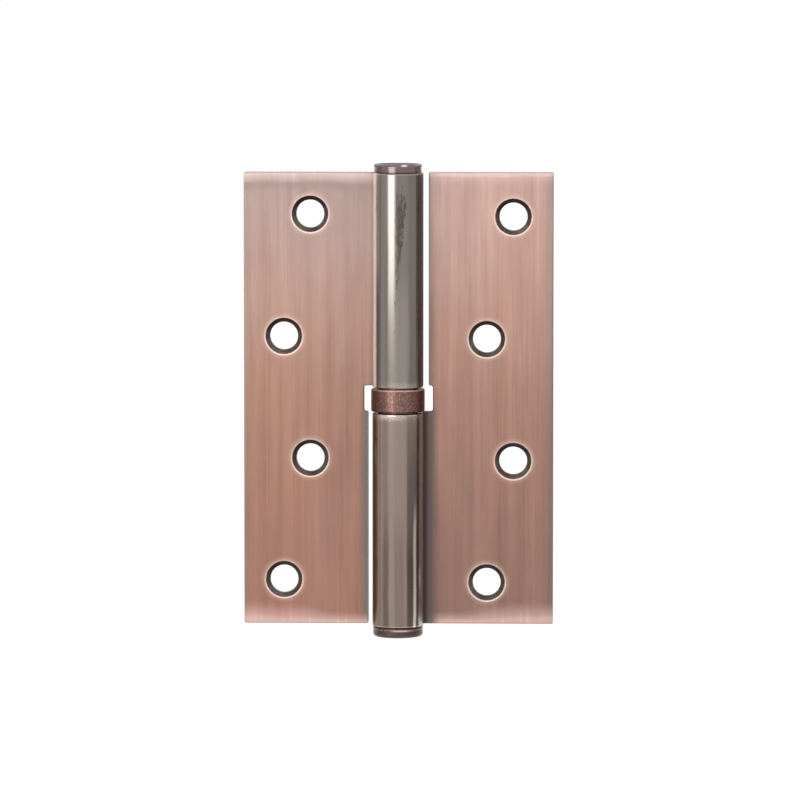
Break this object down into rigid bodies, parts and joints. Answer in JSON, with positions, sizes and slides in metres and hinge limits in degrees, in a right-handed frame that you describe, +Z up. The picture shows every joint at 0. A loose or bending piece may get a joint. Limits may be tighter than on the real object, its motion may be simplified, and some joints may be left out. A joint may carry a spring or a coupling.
{
  "type": "lift-off butt hinge",
  "caption": "Lift-off butt hinge opened flat: two leaves with staggered countersunk holes, rolled knuckles on a fixed pin, a ball thrust ring and end caps.",
  "frame": {"origin": "on the pin's axis at the hinge's half height, which is the centre of the whole part's box", "axes": "+Z up along the pin, +X towards the pin leaf, +Y from the countersunk front faces to the flat mounting backs"},
  "size_m": [0.082, 0.0142, 0.1252],
  "materials": {
    "copper_leaf": "antique copper plated steel, brushed along its height",
    "pin_steel": "ground steel",
    "dark_copper": "dark oxidised copper, polished",
    "red_copper": "oxidised copper, mottled satin",
    "race_steel": "ground bearing steel",
    "cage_brass": "stamped brass",
    "ball_steel": "polished bearing steel"
  },
  "bodies": {
    "frame_side": {"pin_leaf": "copper_leaf", "hinge_pin": "pin_steel", "bottom_cap": "dark_copper", "bearing_shell": "red_copper", "lower_race": "race_steel"},
    "turning_race": {"upper_race": "race_steel"},
    "door_side": {"socket_leaf": "copper_leaf", "top_cap": "dark_copper"},
    "cage": {"ball_cage": "cage_brass", "bearing_ball_1": "ball_steel", "bearing_ball_2": "ball_steel", "bearing_ball_3": "ball_steel", "bearing_ball_4": "ball_steel", "bearing_ball_5": "ball_steel", "bearing_ball_6": "ball_steel", "bearing_ball_7": "ball_steel", "bearing_ball_8": "ball_steel", "bearing_ball_9": "ball_steel", "bearing_ball_10": "ball_steel", "bearing_ball_11": "ball_steel", "bearing_ball_12": "ball_steel"}
  },
  "joints": [
    {"name": "leaf_swing", "type": "hinge", "parent": "frame_side", "child": "turning_race", "pos_m": [0, 0, 0], "axis": [0, 0, 1], "range_deg": [-97, 190]},
    {"name": "leaf_lift", "type": "slide", "parent": "turning_race", "child": "door_side", "axis": [0, 0, 1], "range_m": [0, 0.045]},
    {"name": "cage_turn", "type": "hinge", "parent": "frame_side", "child": "cage", "pos_m": [0, 0, 0], "axis": [0, 0, 1], "range_deg": [-49, 96]}
  ],
  "couplings": [
    {"joint": "cage_turn", "follows": "leaf_swing", "ratio": 0.5}
  ]
}
